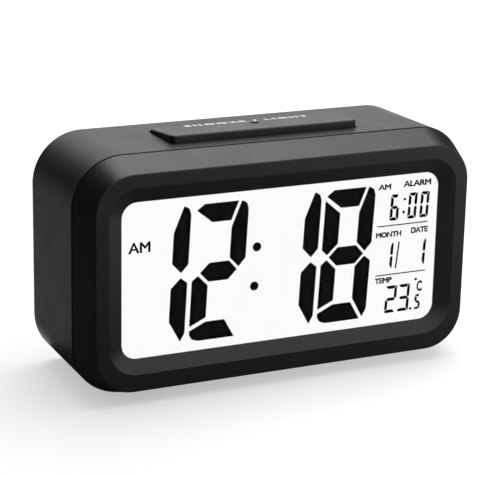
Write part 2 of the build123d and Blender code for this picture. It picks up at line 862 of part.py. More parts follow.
def chip_resistors():
    """Row of chip resistors on the main board."""
    z = board_low + 5 * resistor_length
    start = -board_width / 4
    return [block(start + resistor_pitch * place, start + resistor_pitch * place + resistor_width,
                  board_back, board_back + resistor_height, z, z + resistor_length)
            for place in range(resistor_count)]


def snooze_bar():
    """Wedge-shaped bar with a retaining flange, spring spigots, a contact leg and the sensor's hole."""
    half = bar_length / 2
    front_top = roof - top_draft * (bar_front - seam) / (back - seam) + bar_rise_front
    rear_top = rear_roof + bar_rise_back
    side = Polygon((bar_front, flange_bottom), (bar_back, flange_bottom), (bar_back, rear_top),
                   (bar_front, front_top), align=None)
    bar = extrude(Plane.YZ.offset(-half) * side, bar_length, dir=(1, 0, 0))
    bar = fillet(bar.edges().filter_by(Axis.Z), bar_corner_radius)
    bar = fillet(bar.faces().sort_by(Axis.Z)[-1].edges(), bar_edge_radius)
    reach = flange_overlap + bar_gap
    bar += block(-half - reach, half + reach, bar_front - reach, bar_back + reach, flange_bottom, flange_top)
    bar -= block(-half + bar_wall, half - bar_wall, bar_front + bar_wall, bar_back - bar_wall,
                 flange_bottom, bar_ceiling)
    for x in (-spring_x, spring_x):
        bar += post(spring_radius + slack, x, bar_middle, flange_bottom, bar_ceiling)
        bar += post(spigot_radius, x, bar_middle, flange_bottom - spigot_length, flange_bottom)
    bar += post(pad_radius, 0, pad_y, pad_low + pad_thickness, bar_ceiling)
    bar -= post(sensor_radius, sensor_offset, sensor_y, flange_bottom, front_top)
    return bar


def sensor_lens():
    """Smoked lens of the light sensor, glued under the bar with its nose in the bar's hole."""
    top = rear_roof + bar_rise_back
    nose = post(sensor_radius - fine_slack, sensor_offset, sensor_y, bar_ceiling, top)
    low = bar_ceiling - bar_wall / 2
    flange = post(sensor_radius + bar_gap * 3, sensor_offset, sensor_y, low, bar_ceiling)
    return nose + flange


def snooze_pad():
    """Conductive rubber pad under the bar's contact leg."""
    return post(pad_radius, 0, pad_y, pad_low, pad_low + pad_thickness)


def snooze_spring(x):
    """Return spring between the snooze board and the bar, as its envelope."""
    outer = post(spring_radius, x, bar_middle, snooze_board_top, flange_bottom)
    return outer - post(spring_radius - spring_wire, x, bar_middle, snooze_board_top, flange_bottom)


def snooze_board():
    """Board under the bar, with the contact pads that the bar's rubber pad bridges."""
    half = bar_length / 2 + snooze_board_overhang
    low = snooze_board_top - small_board_thickness
    rear = snooze_board_front + snooze_board_width
    board = block(-half, half, snooze_board_front, rear, low, snooze_board_top)
    return board - [post(board_screw_radius + slack / 2, x, bar_middle, low, snooze_board_top)
                    for x in (-snooze_boss_x, snooze_boss_x)]


def light_sensor():
    """Light sensor that stands on the snooze board under its lens."""
    body = post(sensor_radius, sensor_offset, sensor_y, snooze_board_top, snooze_board_top + sensor_height)
    return fillet(body.edges().group_by(Axis.Z)[-1], sensor_radius / 2)


def key_cap(x):
    """Rear key: oblong head in its hole and a wider flange that keeps it in the case."""
    tall, wide = key_tall / 2, key_width
    head = plate(wide, key_z - tall, key_z + tall, key_corner, key_flange_back, back - key_recess, x)
    head = fillet(head.edges().group_by(Axis.Y)[-1], 2 * key_recess)
    return head + plate(wide + 2 * key_lap, key_z - tall - key_lap, key_z + tall + key_lap, key_corner,
                        key_flange_front, key_flange_back, x)


def key_stem(x):
    """Moving stem of a key switch, under the key's flange."""
    return rod(stem_radius, x, key_z, switch_top - switch_height / 2, key_flange_front)


def key_switches():
    """Bodies of the five key switches, soldered to the key board."""
    half = switch_size / 2
    bodies = []
    for x in key_places.values():
        body = block(x - half, x + half, key_board_back, switch_top, key_z - half, key_z + half)
        body = fillet(body.edges().filter_by(Axis.Y), half / 4)
        bodies.append(body - rod(stem_radius + fine_slack, x, key_z,
                                 switch_top - switch_height / 2 - 2 * key_travel, switch_top))
    return bodies


def slide_switch():
    """Body of the sensor's slide switch, with the slot that its knob runs in."""
    x, half, tall = key_row[-1], slide_length / 2, slide_tall / 2
    body = block(x - half, x + half, key_board_back, switch_top, key_z - tall, key_z + tall)
    slot = (knob_width + knob_travel) / 2 + knob_slack
    reach = knob_tall / 2 + knob_slack / 2
    slot_floor = switch_top - switch_height / 2
    return body - block(x - slot, x + slot, slot_floor, switch_top, key_z - reach, key_z + reach)


def slide_knob():
    """Knob of the slide switch, at the left end of its slot."""
    half, tall = knob_width / 2, knob_tall / 2
    base = switch_top - switch_height / 2 + fine_slack
    knob = block(knob_x - half, knob_x + half, base, back - key_recess, key_z - tall, key_z + tall)
    return fillet(knob.edges().group_by(Axis.Y)[-1], key_recess)


def key_board():
    """Board behind the keys, on its three bosses."""
    low, high = key_z - key_board_height / 2, key_z + key_board_height / 2
    board = block(-key_board_width / 2, key_board_width / 2, key_board_front, key_board_back, low, high)
    return board - [rod(board_screw_radius + slack / 2, x, key_z, key_board_front, key_board_back)
                    for x in key_boss_places]


def thermistor():
    """Bead thermistor that hangs from the key board behind the vents."""
    y = key_board_back + thermistor_leg + fine_slack
    top = key_z - key_board_height / 2 + board_screw_head
    low = key_z - key_board_height / 2 - thermistor_drop
    x = -key_board_width / 2 + key_pitch / 2
    bead = Pos(x, y, low) * Sphere(thermistor_radius)
    legs = [post(thermistor_leg, x + side * thermistor_radius / 2, y, low, top) for side in (-1, 1)]
    return bead + legs


def aaa_cell(place):
    """AAA cell with its positive nub, turned about at every second place."""
    side = -1 if place % 2 == 0 else 1
    z = cell_heights[place]
    tip = side * (bay_length / 2 - contact_thickness - dimple_height)
    shoulder = tip - side * cell_nub_length
    end = tip - side * cell_length
    can = cross_rod(cell_diameter / 2, cell_y, z, min(shoulder, end), max(shoulder, end))
    can = fillet(can.edges(), contact_thickness)
    return can + cross_rod(cell_nub_radius, cell_y, z, min(tip, shoulder), max(tip, shoulder))


def contact(side, plus_place, minus_place, with_tag):
    """Sheet metal contact at one end of the bay: a dimple for a plus end, a spring for a minus end."""
    wall_x = side * bay_length / 2
    face_x = wall_x - side * contact_thickness
    places = [place for place in (plus_place, minus_place) if place is not None]
    heights = [cell_heights[place] for place in places]
    piece = block(min(wall_x, face_x), max(wall_x, face_x), bay_floor, bay_floor + contact_width,
                  min(heights) - contact_width / 2, max(heights) + contact_width / 2)
    if plus_place is not None:
        z = cell_heights[plus_place]
        tip = face_x - side * dimple_height
        piece += cross_rod(dimple_radius, cell_y, z, min(tip, face_x), max(tip, face_x))
    if minus_place is not None:
        coil = Cone(contact_spring_radius, contact_spring_tip, contact_spring_length)
        coil -= Cone(contact_spring_radius - contact_spring_wire, contact_spring_tip - contact_spring_wire,
                     contact_spring_length)
        middle = face_x - side * contact_spring_length / 2
        piece += Pos(middle, cell_y, cell_heights[minus_place]) * Rot(0, -side * 90, 0) * coil
    if with_tag:
        z = heights[0]
        piece += block(min(wall_x, face_x), max(wall_x, face_x), bay_floor - tag_length, bay_floor,
                       z - tag_width / 2, z + tag_width / 2)
    return piece


def sounder_disc():
    """Brass plate of the sounder, glued to its ring behind the sound holes."""
    return rod(sounder_radius, sounder_x, sounder_z, sounder_front - sounder_plate, sounder_front)


def sounder_element():
    """Ceramic disc on the sounder's brass plate."""
    plate_front = sounder_front - sounder_plate
    return rod(sounder_ceramic_radius, sounder_x, sounder_z, plate_front - sounder_ceramic, plate_front)


def lead(points):
    """Round lead along straight runs joined by the largest tangent arcs that fit them."""
    corners = [Vector(*point) for point in points]
    radii = []
    for before, corner, after in zip(corners, corners[1:], corners[2:]):
        turn = (corner - before).get_angle(after - corner)
        shorter = min((corner - before).length, (after - corner).length)
        radii.append(0.45 * shorter / tan(radians(turn / 2)))
    print("lead arc radii", [round(radius, 1) for radius in radii])
    path = FilletPolyline(*corners, radius=radii)
    start = Plane(origin=corners[0], z_dir=corners[1] - corners[0])
    tube = sweep(start * Circle(lead_thickness / 2), path=path)
    length = sum(edge.length for edge in path.edges())
    print("lead volume share", round(tube.volume / (pi * (lead_thickness / 2) ** 2 * length), 3))
    return tube


def battery_lead(place):
    """Lead from one solder tag to the main board."""
    side, z = tag_places()[place]
    x = side * (bay_length / 2 - contact_thickness / 2)
    start = bay_floor - tag_length
    run = (start - board_back) / 3
    end = z - side * tag_width / 2
    return lead([(x, start, z), (x, start - run, z), (x + side * run, board_back + run, end),
                 (x + side * run, board_back, end)])


def sounder_leads():
    """Pair of leads from the sounder to the main board."""
    start = sounder_front - sounder_plate - sounder_ceramic
    run = (start - board_back) / 3
    pair = []
    for step in (-1, 1):
        x = sounder_x + step * 2 * lead_thickness
        end = board_width / 2 - 4 * lead_thickness + step * lead_thickness
        pair.append(lead([(x, start, sounder_z), (x, start - run, sounder_z),
                          (end, board_back + run, sounder_z + run), (end, board_back, sounder_z + run)]))
    return pair


def ribbon(x, width, points, radius):
    """Flat ribbon that bends only across its width."""
    path = FilletPolyline(*[Vector(x, y, z) for y, z in points], radius=radius)
    along = Vector(0, points[1][0] - points[0][0], points[1][1] - points[0][1])
    start = Plane(origin=(x, *points[0]), x_dir=(1, 0, 0), z_dir=along)
    return sweep(start * Rectangle(width, ribbon_thickness), path=path)


def key_ribbon():
    """Ribbon from the key board to the main board."""
    run = (key_board_front - board_back) / 4
    low = key_z - key_board_height / 2
    points = [(key_board_front, key_z), (key_board_front - run, key_z),
              (board_back + run, low), (board_back, low)]
    return ribbon(board_width / 6, key_ribbon_width, points, run / 2)


def snooze_ribbon():
    """Ribbon from the front edge of the snooze board down to the main board."""
    z = snooze_board_top - small_board_thickness / 2
    y = (snooze_board_front + board_back) / 2
    low = board_high - snooze_ribbon_width / 2
    return ribbon(-board_width / 4, snooze_ribbon_width,
                  [(snooze_board_front, z), (y, z), (y, low), (board_back, low)], 2 * ribbon_thickness)


def save(name, shape):
    """One STEP file for one named piece, or for a group of like pieces."""
    pieces = shape if isinstance(shape, list) else [shape]
    solids = [solid for piece in pieces for solid in piece.solids()]
    whole = solids[0] if len(solids) == 1 else Compound(children=solids)
    export_step(whole, f"parts/{name}.step")


def main():
    os.makedirs("parts", exist_ok=True)
    builders = [front_bezel, display_window, rear_case, rubber_feet, case_screws, battery_door,
                lcd_front_polariser, lcd_front_glass, lcd_segments, lcd_rear_glass, lcd_rear_polariser,
                light_guide, backlight_leds, reflector_film, backlight_frame, contact_strip,
                display_screws, main_board, board_screws, clock_chip, watch_crystal, capacitor,
                chip_resistors, snooze_bar, sensor_lens, snooze_pad, snooze_board, light_sensor,
                key_switches, slide_switch, slide_knob, key_board, thermistor, sounder_disc,
                sounder_element, sounder_leads, key_ribbon, snooze_ribbon]
    for builder in builders:
        save(builder.__name__, builder())
    save("snooze_spring_left", snooze_spring(-spring_x))
    save("snooze_spring_right", snooze_spring(spring_x))
    for name, x in key_places.items():
        save(f"key_{name}", key_cap(x))
        save(f"stem_{name}", key_stem(x))
    for place, name in enumerate(("top", "middle", "bottom")):
        save(f"cell_{name}", aaa_cell(place))
    save("contact_plus", contact(-1, 0, None, True))
    save("contact_minus", contact(1, None, 2, True))
    save("contact_link_left", contact(-1, 2, 1, False))
    save("contact_link_right", contact(1, 1, 0, False))
    save("battery_lead_plus", battery_lead(0))
    save("battery_lead_minus", battery_lead(1))


main()
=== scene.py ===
from math import pi, radians

import bpy
from mathutils import Matrix, Vector


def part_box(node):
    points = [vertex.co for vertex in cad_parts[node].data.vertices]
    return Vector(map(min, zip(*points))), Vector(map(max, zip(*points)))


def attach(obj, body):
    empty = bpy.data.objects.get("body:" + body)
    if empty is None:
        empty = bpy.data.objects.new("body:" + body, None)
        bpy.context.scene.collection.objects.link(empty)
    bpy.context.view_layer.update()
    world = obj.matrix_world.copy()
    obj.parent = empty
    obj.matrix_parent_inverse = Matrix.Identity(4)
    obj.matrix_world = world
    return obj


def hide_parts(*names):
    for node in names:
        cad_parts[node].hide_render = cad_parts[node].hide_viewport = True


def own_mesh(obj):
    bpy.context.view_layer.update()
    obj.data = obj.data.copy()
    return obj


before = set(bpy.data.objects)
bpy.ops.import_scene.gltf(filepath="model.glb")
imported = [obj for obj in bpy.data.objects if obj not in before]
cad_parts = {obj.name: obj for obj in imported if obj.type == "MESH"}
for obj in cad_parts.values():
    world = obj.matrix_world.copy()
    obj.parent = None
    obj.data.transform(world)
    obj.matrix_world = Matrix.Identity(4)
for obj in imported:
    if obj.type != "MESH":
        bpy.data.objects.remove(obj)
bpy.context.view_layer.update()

# Front bezel. One black ABS moulding in front: a tapered band, a flat rim and the slope down to the
# window. The tool's fine spark texture leaves it satin, and light gathers softly on its edges.

MM = 0.001


def linear(hex_colour):
    """Linear colour of an sRGB hex value."""
    channels = [int(hex_colour[place:place + 2], 16) / 255 for place in (0, 2, 4)]
    return [c / 12.92 if c <= 0.04045 else ((c + 0.055) / 1.055) ** 2.4 for c in channels] + [1.0]


def add_node(material, kind, settings=None, links=None):
    """A shader node with its settings, and with links from other nodes' outputs to its sockets."""
    node = material.node_tree.nodes.new(kind)
    for key, value in (settings or {}).items():
        if isinstance(key, int) or key in node.inputs:
            node.inputs[key].default_value = value
        else:
            setattr(node, key, value)
    for key, output in (links or {}).items():
        material.node_tree.links.new(output, node.inputs[key])
    return node


def new_finish(name, **sockets):
    """A material with its shader's own sockets set, its shader, and coordinates in metres."""
    material = bpy.data.materials.new(name)
    material.use_nodes = True
    shader = material.node_tree.nodes["Principled BSDF"]
    for key, value in sockets.items():
        shader.inputs[key.replace("_", " ")].default_value = value
    place = add_node(material, "ShaderNodeTexCoord").outputs["Object"]
    return material, shader, place


def mottle(material, shader, place, dark, light, patch_mm, roughness, rough_patch_mm):
    """Slow drift of colour and of gloss over a surface, each with its own patch size."""
    links = material.node_tree.links
    cloud = add_node(material, "ShaderNodeTexNoise", {"Scale": 1 / (patch_mm * MM), "Detail": 3.0},
                     {"Vector": place})
    tint = add_node(material, "ShaderNodeMix", {"data_type": "RGBA", 6: linear(dark), 7: linear(light)},
                    {"Factor": cloud.outputs["Fac"]})
    links.new(tint.outputs[2], shader.inputs["Base Color"])
    handling = add_node(material, "ShaderNodeTexNoise", {"Scale": 1 / (rough_patch_mm * MM), "Detail": 4.0},
                        {"Vector": place})
    gloss = add_node(material, "ShaderNodeMapRange", {"From Min": 0.3, "From Max": 0.7,
                                                      "To Min": roughness[0], "To Max": roughness[1]},
                     {"Value": handling.outputs["Fac"]})
    links.new(gloss.outputs["Result"], shader.inputs["Roughness"])


def grain(material, shader, place, size_mm, depth_mm):
    """Fine moulded or woven grain, as bump, from its size and depth."""
    speck = add_node(material, "ShaderNodeTexNoise", {"Scale": 1 / (size_mm * MM), "Detail": 2.0},
                     {"Vector": place})
    bump = add_node(material, "ShaderNodeBump", {"Strength": 1.0, "Distance": depth_mm * MM},
                    {"Height": speck.outputs["Fac"]})
    material.node_tree.links.new(bump.outputs["Normal"], shader.inputs["Normal"])


def dress(material, *nodes):
    """Gives the material to CAD nodes, in the slots that they have."""
    for node in nodes:
        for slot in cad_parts[node].material_slots:
            slot.material = material


def textured_abs(name, dark, light, roughness):
    """ABS moulded in a spark-eroded tool. The real grain is 0.1 mm, drawn at 0.45 mm so that it shows."""
    material, shader, place = new_finish(name, IOR=1.54, Specular_IOR_Level=0.45)
    mottle(material, shader, place, dark, light, 18, roughness, 9)
    grain(material, shader, place, 0.45, 0.012)
    return material


dress(textured_abs("moulded_abs_bezel", "131314", "161617", (0.36, 0.42)), "front_bezel")

# Clear window. A polished acrylic sheet, 0.8 mm thick, bonded behind the bezel's opening. Acrylic's own
# IOR is 1.49. It is 1.1 here, matched by trial, because the full mirror turned the black figures grey.

acrylic, shader, place = new_finish("polished_acrylic_window", IOR=1.1, Transmission_Weight=1.0)
mottle(acrylic, shader, place, "FBFCFC", "FFFFFF", 30, (0.01, 0.03), 25)
dress(acrylic, "display_window")

# LCD cell. Two panes of soda-lime glass with the liquid crystal between them and a polarising film
# on each outer face. The panes and the front film are drawn almost see-through, at 2 % cover, not as
# real glass, and the crystal has no mirror at all, so that a figure that is on reads as dead black.

glass, shader, place = new_finish("lcd_soda_lime_glass", IOR=1.52, Alpha=0.02, Specular_IOR_Level=0.1)
mottle(glass, shader, place, "2A302E", "343A38", 40, (0.02, 0.05), 30)
dress(glass, "lcd_front_glass", "lcd_rear_glass")

film, shader, place = new_finish("neutral_polariser_film", IOR=1.48, Alpha=0.02, Specular_IOR_Level=0.1)
mottle(film, shader, place, "3A3D3C", "464948", 40, (0.25, 0.35), 12)
dress(film, "lcd_front_polariser")

crystal, shader, place = new_finish("dark_liquid_crystal", IOR=1.5, Specular_IOR_Level=0.0)
mottle(crystal, shader, place, "020202", "040405", 6, (0.5, 0.6), 6)
dress(crystal, "lcd_segments")

# Weights and reach are in the text's own size, 1, before it is fitted. Words up to SMALL_HEIGHT, in
# millimetres, are drawn bolder.
SEAM_REACH, LARGE_WEIGHT, SMALL_WEIGHT, SMALL_HEIGHT = 0.0005, 0.045, 0.08, 3.0


def lettering(name, words, left, right, low, high, depth, turn, weight, spacing=1.0):
    """Words as a mesh of text, swelled by their weight, fitted to a box and placed on their plane."""
    bpy.ops.object.select_all(action="DESELECT")
    bpy.ops.object.text_add(location=(0, 0, 0))
    text = bpy.context.object
    text.data.body = words
    text.data.space_character = spacing
    text.data.resolution_u = 6
    text.data.extrude = 1.0
    bpy.ops.object.convert(target="MESH")
    word = bpy.context.object
    word.name = name
    word.data.name = name
    bpy.ops.object.mode_set(mode="EDIT")
    bpy.ops.mesh.select_all(action="SELECT")
    bpy.ops.mesh.remove_doubles(threshold=SEAM_REACH)
    bpy.ops.mesh.normals_make_consistent(inside=False)
    bpy.ops.object.mode_set(mode="OBJECT")
    bolder = word.modifiers.new("bolder", "DISPLACE")
    bolder.strength = weight
    bolder.mid_level = 0
    bpy.ops.object.modifier_apply(modifier="bolder")
    least, most = (Vector([pick(v.co[axis] for v in word.data.vertices) for axis in range(3)])
                   for pick in (min, max))
    wide, tall, thick = most - least
    fit = Matrix.Diagonal(((right - left) / wide, (high - low) / tall, depth / thick, 1))
    word.matrix_world = turn @ Matrix.Translation((left, low, 0)) @ fit @ Matrix.Translation(-least)
    bpy.ops.object.transform_apply()
    return word


# The words sit in the same layer as the figures, so they have its depth and its black.
crystal_low, crystal_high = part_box("lcd_segments")
facing_front = Matrix.Translation((0, crystal_high.y, 0)) @ Matrix.Rotation(pi / 2, 4, "X")
lcd_words = [
    ("lcd_hours_am", "AM", -51.6, -44.4, 47.0, 50.4), ("lcd_alarm_am", "AM", 33.6, 38.2, 58.6, 60.4),
    ("lcd_alarm", "ALARM", 42.8, 52.9, 58.8, 60.8), ("lcd_month", "MONTH", 33.4, 42.7, 42.6, 44.5),
    ("lcd_date", "DATE", 46.3, 52.5, 43.0, 45.0), ("lcd_temperature", "TEMP", 33.7, 39.9, 27.2, 29.1),
    ("lcd_celsius", "C", 49.4, 51.4, 22.9, 26.5)]
for name, words, left, right, low, high in lcd_words:
    weight = LARGE_WEIGHT if high - low > SMALL_HEIGHT else SMALL_WEIGHT
    word = lettering(name, words, left * MM, right * MM, low * MM, high * MM,
                     crystal_high.y - crystal_low.y, facing_front, weight)
    word.data.materials.append(crystal)
    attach(word, "root")

# Rear polariser and its pale half-mirror. A white film with a pearl coat, the ground of the display.
# Most of its brightness here is its own glow, matched by trial, and not the room's light as on a real
# one, so the display stays white when the lamps change.

pearl, shader, place = new_finish("pearl_half_mirror_film", IOR=1.48, Specular_IOR_Level=0.2,
                                  Emission_Color=linear("FEFEFE"), Emission_Strength=1.09)
mottle(pearl, shader, place, "717171", "777777", 12, (0.5, 0.6), 20)
dress(pearl, "lcd_rear_polariser")

# Backlight. A clear acrylic guide lit at its end by two LEDs, a white reflector film behind it, and
# a white ABS frame that holds the whole display against the bezel.

guide, shader, place = new_finish("acrylic_light_guide", IOR=1.49, Transmission_Weight=0.6)
mottle(guide, shader, place, "E2EEF4", "EDF5F8", 8, (0.1, 0.2), 4)
dress(guide, "light_guide")

resin, shader, place = new_finish("phosphor_led_resin", IOR=1.5, Subsurface_Weight=0.2)
mottle(resin, shader, place, "E8D27A", "F0E29A", 1.5, (0.2, 0.3), 2)
dress(resin, "backlight_leds")

white_film, shader, place = new_finish("voided_white_polyester_film", IOR=1.55)
mottle(white_film, shader, place, "EDEDEC", "F4F4F3", 10, (0.45, 0.6), 8)
dress(white_film, "reflector_film")

white_abs, shader, place = new_finish("moulded_white_abs", IOR=1.54)
mottle(white_abs, shader, place, "D8D8D4", "E2E2DE", 20, (0.35, 0.5), 7)
grain(white_abs, shader, place, 0.4, 0.004)
dress(white_abs, "backlight_frame")

# Contact strip. A silicone rubber strip with thousands of thin carbon layers, pressed between the
# glass and the board. Its bands run across it at 0.1 mm, drawn here at 0.4 mm so that they show.


def bands_of(pitch_mm):
    """Scale of a wave texture whose bands repeat at this pitch."""
    return pi / 10 / (pitch_mm * MM)


strip, shader, place = new_finish("layered_silicone_rubber", IOR=1.43, Roughness=0.65)
bands = add_node(strip, "ShaderNodeTexWave", {"Scale": bands_of(0.4), "Distortion": 0.0}, {"Vector": place})
banded = add_node(strip, "ShaderNodeMix", {"data_type": "RGBA", 6: linear("16171A"), 7: linear("C9C4BC")},
                  {"Factor": bands.outputs["Fac"]})
strip.node_tree.links.new(banded.outputs[2], shader.inputs["Base Color"])
dress(strip, "contact_strip")

# Screws. Rolled steel with bright zinc plating, some in the case's wells, some on the boards. The
# plating is a soft mirror with faint clouds in it.


def plated_metal(name, dark, light, roughness):
    """Metal with a thin bright plating, a little cloudy where it has been handled."""
    material, shader, place = new_finish(name, Metallic=1.0)
    mottle(material, shader, place, dark, light, 2, roughness, 1.5)
    return material


dress(plated_metal("zinc_plated_steel", "9FA3A8", "B9BCBF", (0.22, 0.38)),
      "case_screws", "display_screws", "board_screws")

# Circuit boards. Glass-filled epoxy under green solder mask. The copper tracks raise the mask and
# show through it as paler lines, 0.4 mm wide and 2.5 mm apart, in fields that run up or across.

TRACK_PITCH, FIELD_SIZE, TRACK_RISE = 2.5, 16 * MM, 0.03 * MM
board, shader, place = new_finish("solder_masked_epoxy_board", IOR=1.55, Roughness=0.25)
tracks_up, tracks_across = [
    add_node(board, "ShaderNodeTexWave", {"bands_direction": axis, "Scale": bands_of(TRACK_PITCH),
                                          "Distortion": 1.5, "Detail Scale": 0.6}, {"Vector": place})
    for axis in "XZ"]
fields = add_node(board, "ShaderNodeTexNoise", {"Scale": 1 / FIELD_SIZE, "Detail": 0.0}, {"Vector": place})
field = add_node(board, "ShaderNodeMapRange", {"From Min": 0.5, "From Max": 0.502},
                 {"Value": fields.outputs["Fac"]})
either = add_node(board, "ShaderNodeMix", {}, {0: field.outputs["Result"], 2: tracks_up.outputs["Fac"],
                                               3: tracks_across.outputs["Fac"]})
# Only the crest of each wave is a track.
edge = add_node(board, "ShaderNodeMapRange", {"From Min": 0.9, "From Max": 0.94},
                {"Value": either.outputs[0]})
mask = add_node(board, "ShaderNodeMix", {"data_type": "RGBA", 6: linear("0E5A2C"), 7: linear("2A8A4C")},
                {"Factor": edge.outputs["Result"]})
board.node_tree.links.new(mask.outputs[2], shader.inputs["Base Color"])
relief = add_node(board, "ShaderNodeBump", {"Distance": TRACK_RISE}, {"Height": edge.outputs["Result"]})
board.node_tree.links.new(relief.outputs["Normal"], shader.inputs["Normal"])
dress(board, "main_board", "key_board", "snooze_board")

# Works on the main board. The clock chip lies under a drop of black epoxy, beside a plated watch
# crystal, an electrolytic capacitor in its shrunk sleeve and a row of dark glazed resistors.

epoxy, shader, place = new_finish("black_potting_epoxy", IOR=1.55)
mottle(epoxy, shader, place, "0C0C0D", "131314", 3, (0.12, 0.22), 4)
dress(epoxy, "clock_chip", "thermistor")
dress(plated_metal("nickel_plated_can", "C4C4C0", "D2D2CF", (0.15, 0.28)), "watch_crystal", "slide_switch")
sleeve, shader, place = new_finish("shrunk_vinyl_sleeve", IOR=1.53)
mottle(sleeve, shader, place, "10142C", "161B38", 2, (0.25, 0.35), 2)
dress(sleeve, "capacitor")
glaze, shader, place = new_finish("glazed_alumina", IOR=1.6)
mottle(glaze, shader, place, "131313", "1D1D1E", 0.8, (0.2, 0.3), 1)
dress(glaze, "chip_resistors")

# Snooze springs. Two coils of hard drawn steel wire, 0.5 mm thick, that stand on the snooze board
# and lift the bar. Each is one wire, wound with a steady pitch.

COIL_STEPS, WIRE_SIDES = 26, 10
SNOOZE_WIRE, SNOOZE_TURNS, SNOOZE_TRAVEL = 0.5 * MM, 5, 1.0 * MM


def wire_coil(name, place, turn, length, radius, wire, turns, tip_share=1.0):
    """A coil from place along its own Z, turned about Y. A screw carries the wire's section round."""
    bpy.ops.object.select_all(action="DESELECT")
    bpy.ops.mesh.primitive_circle_add(vertices=WIRE_SIDES, radius=wire / 2, rotation=(pi / 2, 0, 0),
                                      location=(radius - wire / 2, 0, wire / 2))
    coil = bpy.context.object
    coil.name = name
    coil.data.name = name
    bpy.ops.object.transform_apply()
    screw = coil.modifiers.new("wound", "SCREW")
    screw.screw_offset = (length - wire) / turns
    screw.iterations = turns
    screw.steps = screw.render_steps = COIL_STEPS
    screw.use_merge_vertices = False
    bpy.ops.object.modifier_apply(modifier="wound")
    if tip_share < 1:
        cone = coil.modifiers.new("drawn_in", "SIMPLE_DEFORM")
        cone.deform_method = "TAPER"
        cone.deform_axis = "Z"
        cone.factor = tip_share - 1
        bpy.ops.object.modifier_apply(modifier="drawn_in")
    bpy.ops.object.mode_set(mode="EDIT")
    bpy.ops.mesh.select_all(action="DESELECT")
    bpy.ops.mesh.select_mode(type="EDGE")
    bpy.ops.mesh.select_non_manifold()
    bpy.ops.mesh.edge_face_add()
    bpy.ops.mesh.select_all(action="SELECT")
    bpy.ops.mesh.normals_make_consistent(inside=False)
    bpy.ops.object.mode_set(mode="OBJECT")
    bpy.ops.object.shade_smooth()
    coil.location = place
    coil.rotation_euler = (0, turn, 0)
    bpy.ops.object.transform_apply()
    return coil


spring_wire = plated_metal("drawn_spring_steel", "8E9094", "A7A9AC", (0.2, 0.35))
for side in ("left", "right"):
    low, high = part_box("snooze_spring_" + side)
    middle = (low + high) / 2
    foot = Vector((middle.x, middle.y, low.z))
    spring = wire_coil("snooze_coil_" + side, foot, 0, high.z - low.z, (high.x - low.x) / 2,
                       SNOOZE_WIRE, SNOOZE_TURNS)
    spring.data.materials.append(spring_wire)
    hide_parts("snooze_spring_" + side)
    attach(spring, "root")
    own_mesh(spring)

# Snooze bar, its contact pad, its smoked sensor lens and the light sensor below. The bar is the same
# black ABS as the case, high at its front edge and flush behind, and it is pressed as one key.

dress(textured_abs("moulded_abs_bar", "131314", "171718", (0.38, 0.44)), "snooze_bar")
dress(textured_abs("moulded_abs_case", "131314", "161617", (0.38, 0.44)), "rear_case", "battery_door")
pad, shader, place = new_finish("conductive_silicone_rubber", IOR=1.43)
mottle(pad, shader, place, "121213", "1B1B1C", 1.5, (0.6, 0.75), 1)
dress(pad, "snooze_pad")
smoked, shader, place = new_finish("smoked_acrylic", IOR=1.49)
mottle(smoked, shader, place, "050506", "08080A", 3, (0.06, 0.12), 2)
dress(smoked, "sensor_lens")
clear_resin, shader, place = new_finish("clear_epoxy_resin", IOR=1.54, Transmission_Weight=0.5)
mottle(clear_resin, shader, place, "D8E0E8", "E4EAF0", 1.5, (0.05, 0.1), 2)
dress(clear_resin, "light_sensor")

# Keys behind. Grey-black ABS caps on red acetal stems, over switches with black polyamide bodies,
# and a small knob for the sensor's slide switch.

dress(textured_abs("moulded_abs_key", "1E1E20", "242426", (0.38, 0.5)),
      "key_mode", "key_set", "key_up", "key_down", "key_alarm", "slide_knob")
acetal, shader, place = new_finish("moulded_red_acetal", IOR=1.48)
mottle(acetal, shader, place, "7C1713", "8B1E18", 2, (0.3, 0.4), 1.5)
dress(acetal, "stem_mode", "stem_set", "stem_up", "stem_down", "stem_alarm")
polyamide, shader, place = new_finish("moulded_black_polyamide", IOR=1.53)
mottle(polyamide, shader, place, "17171A", "1F1F22", 2, (0.4, 0.55), 1.5)
dress(polyamide, "key_switches")

# Sounder. A brass disc with a thin ceramic disc on it, whose fired silver face takes one of the two
# leads. The brass is rolled, then tumbled to a soft shine.

dress(plated_metal("rolled_brass", "B08D4C", "C2A05C", (0.25, 0.4)), "sounder_disc")
dress(plated_metal("fired_silver_electrode", "BDBBB4", "CFCDC6", (0.4, 0.55)), "sounder_element")

# Leads and ribbons. Vinyl over stranded copper, red for plus and black for minus, and flat grey
# ribbons of parallel wires, 1.27 mm apart, with a ridge over each wire.


def vinyl(name, dark, light):
    """Soft extruded vinyl, with the faint waves that its strands leave."""
    material, shader, place = new_finish(name, IOR=1.53)
    mottle(material, shader, place, dark, light, 3, (0.35, 0.5), 1.5)
    return material, shader, place


dress(vinyl("red_vinyl_sheath", "8C1410", "A01A14")[0], "battery_lead_plus")
dress(vinyl("black_vinyl_sheath", "111112", "181819")[0], "battery_lead_minus", "sounder_leads")
WIRE_PITCH, RIDGE_HEIGHT = 1.27, 0.2 * MM
ribbon_vinyl, shader, place = vinyl("grey_ribbon_vinyl", "77797B", "84868A")
ridges = add_node(ribbon_vinyl, "ShaderNodeTexWave", {"bands_direction": "X", "Scale": bands_of(WIRE_PITCH)},
                  {"Vector": place})
ridge_relief = add_node(ribbon_vinyl, "ShaderNodeBump", {"Distance": RIDGE_HEIGHT},
                        {"Height": ridges.outputs["Fac"]})
ribbon_vinyl.node_tree.links.new(ridge_relief.outputs["Normal"], shader.inputs["Normal"])
dress(ribbon_vinyl, "key_ribbon", "snooze_ribbon")

# Cells. Three AAA cells in plain printed jackets: dark, with one pale ring at the plus end. The
# jacket stops short of both ends, where the nickel-plated steel can shows.

